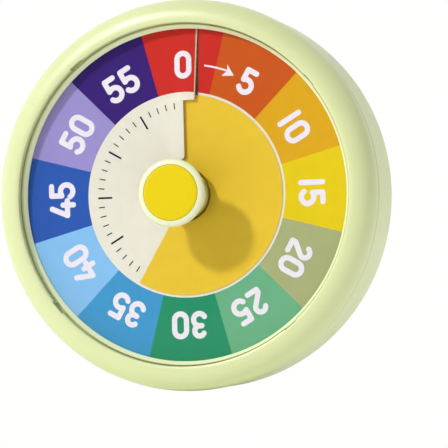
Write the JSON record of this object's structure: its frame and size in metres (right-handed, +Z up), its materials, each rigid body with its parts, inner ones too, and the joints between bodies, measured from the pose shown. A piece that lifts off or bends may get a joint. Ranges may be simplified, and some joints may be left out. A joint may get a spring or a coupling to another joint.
{
  "type": "visual countdown timer",
  "caption": "Round sixty-minute countdown timer with a rainbow minute dial, a colour disc that shrinks as time runs out, a centre setting knob and a fold-out stand",
  "frame": {"origin": "where the setting knob's axis meets the flat back of the rear case", "axes": "+Z up with the zero mark at the top, +Y out of the flat back towards the wall, front facing -Y, +X to the right of a viewer looking at the front"},
  "size_m": [0.18, 0.064, 0.18],
  "materials": {
    "pale_green_plastic": "moulded pale green ABS with a fine satin surface",
    "yellow_plastic": "smooth yellow moulded cap",
    "clear_plastic": "clear polished acrylic window",
    "printed_dial": "cream sheet printed with twelve colour sectors and minute marks",
    "film": "flexible yellow plastic film",
    "white_plastic": "off-white moulded plastic",
    "black_plastic": "black moulded plastic",
    "steel": "bright zinc-plated steel",
    "brass": "turned brass",
    "copper_wire": "lacquered copper winding",
    "board": "green glass-fibre circuit board",
    "cell_wrap": "plain printed steel can",
    "red_wire": "red insulation",
    "black_wire": "black insulation"
  },
  "bodies": {
    "case": {"front_bezel": "pale_green_plastic", "rear_case": "pale_green_plastic", "clear_lens": "clear_plastic", "dial_plate": "printed_dial", "chassis_plate": "white_plastic", "battery_box": "white_plastic", "movement_cover": "black_plastic", "movement_base": "black_plastic", "buzzer": "black_plastic", "case_screw_1": "steel", "case_screw_2": "steel", "case_screw_3": "steel", "case_screw_4": "steel", "chassis_screw_1": "steel", "chassis_screw_2": "steel", "chassis_screw_3": "steel", "movement_screw_1": "steel", "movement_screw_2": "steel", "stator_plate": "steel", "switch_body": "steel", "battery_contact_plus": "steel", "battery_contact_spring": "steel", "stand_pin": "steel", "shaft_bush": "brass", "bush_nut": "brass", "alarm_contact": "brass", "motor_coil": "copper_wire", "circuit_board": "board", "battery_cell": "cell_wrap", "wire_red": "red_wire", "wire_black": "black_wire"},
    "dial_drive": {"knob_body": "pale_green_plastic", "knob_cap": "yellow_plastic", "main_shaft": "steel", "film_hub": "white_plastic", "time_film": "film", "centre_wheel": "brass", "clutch_spring": "steel", "alarm_cam": "white_plastic"},
    "third_wheel": {"third_wheel": "white_plastic"},
    "second_wheel": {"second_wheel": "white_plastic"},
    "motor_rotor": {"motor_rotor": "black_plastic"},
    "stand_leg": {"stand_leg": "pale_green_plastic"},
    "battery_door": {"battery_door": "pale_green_plastic"},
    "alarm_slider": {"alarm_slider": "black_plastic"}
  },
  "joints": [
    {"name": "time_set", "type": "hinge", "parent": "case", "child": "dial_drive", "pos_m": [0, 0, 0], "axis": [0, 1, 0], "range_deg": [-210.7, 148.8], "deforming": ["time_film"]},
    {"name": "third_wheel_spin", "type": "hinge", "parent": "case", "child": "third_wheel", "pos_m": [-0.01104, 0, 0.00637], "axis": [0, 1, 0], "range_deg": [-1116, 1580.25]},
    {"name": "second_wheel_spin", "type": "hinge", "parent": "case", "child": "second_wheel", "pos_m": [-0.01301, 0, -0.00479], "axis": [0, 1, 0], "range_deg": [-12642, 8928]},
    {"name": "rotor_spin", "type": "hinge", "parent": "case", "child": "motor_rotor", "pos_m": [-0.00791, 0, -0.01363], "axis": [0, 1, 0], "range_deg": [-66960, 94815]},
    {"name": "stand_fold", "type": "hinge", "parent": "case", "child": "stand_leg", "pos_m": [0, -0.0034, -0.014], "axis": [1, 0, 0], "range_deg": [0, 35]},
    {"name": "door_swing", "type": "hinge", "parent": "case", "child": "battery_door", "pos_m": [-0.05, -0.0009, -0.0293], "axis": [-1, 0, 0], "range_deg": [0, 95]},
    {"name": "alarm_slide", "type": "slide", "parent": "case", "child": "alarm_slider", "axis": [0, 0, 1], "range_m": [0, 0.006]}
  ],
  "couplings": [
    {"joint": "third_wheel_spin", "follows": "time_set", "ratio": -7.5},
    {"joint": "second_wheel_spin", "follows": "time_set", "ratio": 60},
    {"joint": "rotor_spin", "follows": "time_set", "ratio": -450}
  ]
}
